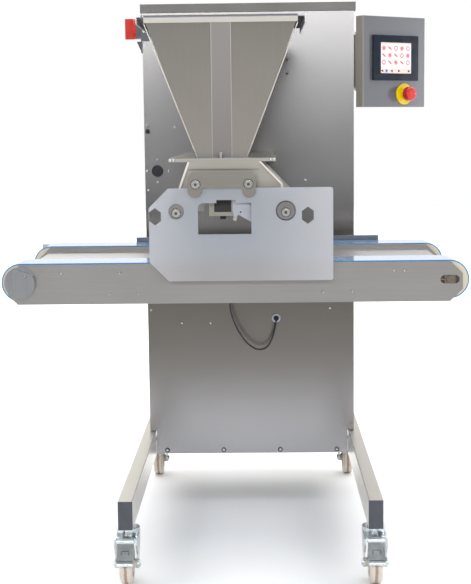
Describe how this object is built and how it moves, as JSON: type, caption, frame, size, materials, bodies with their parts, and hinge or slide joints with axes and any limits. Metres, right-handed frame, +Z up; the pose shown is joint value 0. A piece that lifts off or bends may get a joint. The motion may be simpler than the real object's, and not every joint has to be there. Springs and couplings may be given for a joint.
{
  "type": "cookie depositor",
  "caption": "Cookie depositor with a dough hopper over feed rollers and a wire-cut head, on a stainless cabinet above a twin-belt tray conveyor, with castors.",
  "frame": {"origin": "on the floor, under the middle of the object's box", "axes": "+Z up, +X along the conveyor to the right as seen from the front, front at -Y"},
  "size_m": [1.1098, 1.172, 1.446],
  "materials": {
    "cabinet_steel": "brushed",
    "cap_steel": "brushed",
    "frame_steel": "satin",
    "head_steel": "brushed",
    "hopper_steel": "brushed",
    "conveyor_steel": "brushed",
    "bright_steel": "machined",
    "zinc_steel": "zinc plated",
    "aluminium": "anodised",
    "motor_paint": "satin paint",
    "bronze": "plain",
    "black_plastic": "moulded",
    "grey_plastic": "moulded",
    "white_plastic": "machined",
    "guard_plastic": "frosted",
    "nylon": "moulded",
    "belt": "polished belt",
    "screen": "moulded bezel with glass",
    "yellow_plastic": "moulded",
    "red_plastic": "moulded"
  },
  "bodies": {
    "frame": {"cabinet_shell": "cabinet_steel", "top_cap": "cap_steel", "rear_cover": "cabinet_steel", "base_frame": "frame_steel", "leg_caps": "grey_plastic", "castor_mounts": "zinc_steel", "head_plate": "head_steel", "head_housing": "head_steel", "roller_bushes": "bronze", "die_holder": "aluminium", "nozzle_bar": "black_plastic", "guard_plate": "guard_plastic", "clamp_bracket": "head_steel", "head_bolts": "bright_steel", "feed_motor": "motor_paint", "lift_actuator": "motor_paint", "lift_rails": "bright_steel", "rubber_plugs": "black_plastic", "cable": "black_plastic", "isolator_base": "cabinet_steel", "panel_bracket": "cabinet_steel", "cabinet_fasteners": "bright_steel", "hopper": "hopper_steel"},
    "conveyor": {"front_side_plate": "conveyor_steel", "rear_side_plate": "conveyor_steel", "inner_side_plates": "conveyor_steel", "slider_beds": "conveyor_steel", "belt_front": "belt", "belt_rear": "belt", "cross_members": "conveyor_steel", "lift_carriage": "frame_steel", "drive_cover": "conveyor_steel", "tension_blocks": "zinc_steel", "conveyor_screws": "bright_steel", "guide_bar": "aluminium", "conveyor_motor": "aluminium", "cable_gland": "black_plastic"},
    "drive_roller": {"drive_roller": "bright_steel"},
    "idler_roller": {"idler_roller": "bright_steel"},
    "feed_left": {"feed_roller_left": "bright_steel", "feed_gear_left": "bright_steel"},
    "feed_right": {"feed_roller_right": "bright_steel", "feed_gear_right": "bright_steel"},
    "cutter": {"cutter_arms": "white_plastic", "cutting_wire": "bright_steel"},
    "panel": {"control_box": "cabinet_steel", "touch_screen": "screen", "emergency_stop": "yellow_plastic"},
    "stop_button": {"stop_button": "red_plastic"},
    "isolator_handle": {"isolator_handle": "red_plastic"},
    "castor_fork_front_left": {"castor_fork_front_left": "zinc_steel"},
    "castor_wheel_front_left": {"castor_wheel_front_left": "nylon"},
    "castor_fork_rear_left": {"castor_fork_rear_left": "zinc_steel"},
    "castor_wheel_rear_left": {"castor_wheel_rear_left": "nylon"},
    "castor_fork_front_right": {"castor_fork_front_right": "zinc_steel"},
    "castor_wheel_front_right": {"castor_wheel_front_right": "nylon"},
    "castor_fork_rear_right": {"castor_fork_rear_right": "zinc_steel"},
    "castor_wheel_rear_right": {"castor_wheel_rear_right": "nylon"},
    "brake_pedal_left": {"brake_pedal_left": "zinc_steel"},
    "brake_pedal_right": {"brake_pedal_right": "zinc_steel"}
  },
  "joints": [
    {"name": "conveyor_lift", "type": "slide", "parent": "frame", "child": "conveyor", "axis": [0, 0, 1], "range_m": [0, 0.06], "deforming": ["cable"]},
    {"name": "drive_roller_turn", "type": "hinge", "parent": "conveyor", "child": "drive_roller", "pos_m": [-0.509, -0.209, 0.736], "axis": [0, 1, 0], "continuous": true},
    {"name": "idler_roller_turn", "type": "hinge", "parent": "conveyor", "child": "idler_roller", "pos_m": [0.509, -0.209, 0.736], "axis": [0, 1, 0], "continuous": true},
    {"name": "feed_left_turn", "type": "hinge", "parent": "frame", "child": "feed_left", "pos_m": [-0.058, -0.309, 0.975], "axis": [0, 1, 0], "continuous": true},
    {"name": "feed_right_turn", "type": "hinge", "parent": "frame", "child": "feed_right", "pos_m": [0.006, -0.309, 0.975], "axis": [0, 1, 0], "continuous": true},
    {"name": "cutter_swing", "type": "hinge", "parent": "frame", "child": "cutter", "pos_m": [-0.026, -0.309, 0.967], "axis": [0, 1, 0], "range_deg": [0, 34]},
    {"name": "panel_swivel", "type": "hinge", "parent": "frame", "child": "panel", "pos_m": [0.338, 0.187, 1.278], "axis": [0, 0, 1], "range_deg": [-35, 50]},
    {"name": "stop_press", "type": "slide", "parent": "panel", "child": "stop_button", "axis": [-0.5736, 0.8192, 0], "range_m": [0, 0.005], "stiffness_N_per_m": 900},
    {"name": "isolator_turn", "type": "hinge", "parent": "frame", "child": "isolator_handle", "pos_m": [-0.288, 0.215, 1.38], "axis": [-1, 0, 0], "range_deg": [0, 90]},
    {"name": "castor_swivel_front_left", "type": "hinge", "parent": "frame", "child": "castor_fork_front_left", "pos_m": [-0.2685, -0.486, 0.125], "axis": [0, 0, 1], "continuous": true},
    {"name": "castor_roll_front_left", "type": "hinge", "parent": "castor_fork_front_left", "child": "castor_wheel_front_left", "pos_m": [-0.2685, -0.521, 0.05], "axis": [1, 0, 0], "continuous": true},
    {"name": "castor_swivel_rear_left", "type": "hinge", "parent": "frame", "child": "castor_fork_rear_left", "pos_m": [-0.2685, 0.524, 0.125], "axis": [0, 0, 1], "continuous": true},
    {"name": "castor_roll_rear_left", "type": "hinge", "parent": "castor_fork_rear_left", "child": "castor_wheel_rear_left", "pos_m": [-0.2685, 0.489, 0.05], "axis": [1, 0, 0], "continuous": true},
    {"name": "castor_swivel_front_right", "type": "hinge", "parent": "frame", "child": "castor_fork_front_right", "pos_m": [0.3325, -0.486, 0.125], "axis": [0, 0, 1], "continuous": true},
    {"name": "castor_roll_front_right", "type": "hinge", "parent": "castor_fork_front_right", "child": "castor_wheel_front_right", "pos_m": [0.3325, -0.521, 0.05], "axis": [1, 0, 0], "continuous": true},
    {"name": "castor_swivel_rear_right", "type": "hinge", "parent": "frame", "child": "castor_fork_rear_right", "pos_m": [0.3325, 0.524, 0.125], "axis": [0, 0, 1], "continuous": true},
    {"name": "castor_roll_rear_right", "type": "hinge", "parent": "castor_fork_rear_right", "child": "castor_wheel_rear_right", "pos_m": [0.3325, 0.489, 0.05], "axis": [1, 0, 0], "continuous": true},
    {"name": "brake_pedal_left_tilt", "type": "hinge", "parent": "castor_fork_front_left", "child": "brake_pedal_left", "pos_m": [-0.2685, -0.548, 0.112], "axis": [-1, 0, 0], "range_deg": [0, 18]},
    {"name": "brake_pedal_right_tilt", "type": "hinge", "parent": "castor_fork_front_right", "child": "brake_pedal_right", "pos_m": [0.3325, -0.548, 0.112], "axis": [-1, 0, 0], "range_deg": [0, 18]}
  ],
  "couplings": [
    {"joint": "idler_roller_turn", "follows": "drive_roller_turn", "ratio": 1},
    {"joint": "feed_right_turn", "follows": "feed_left_turn", "ratio": -1}
  ]
}
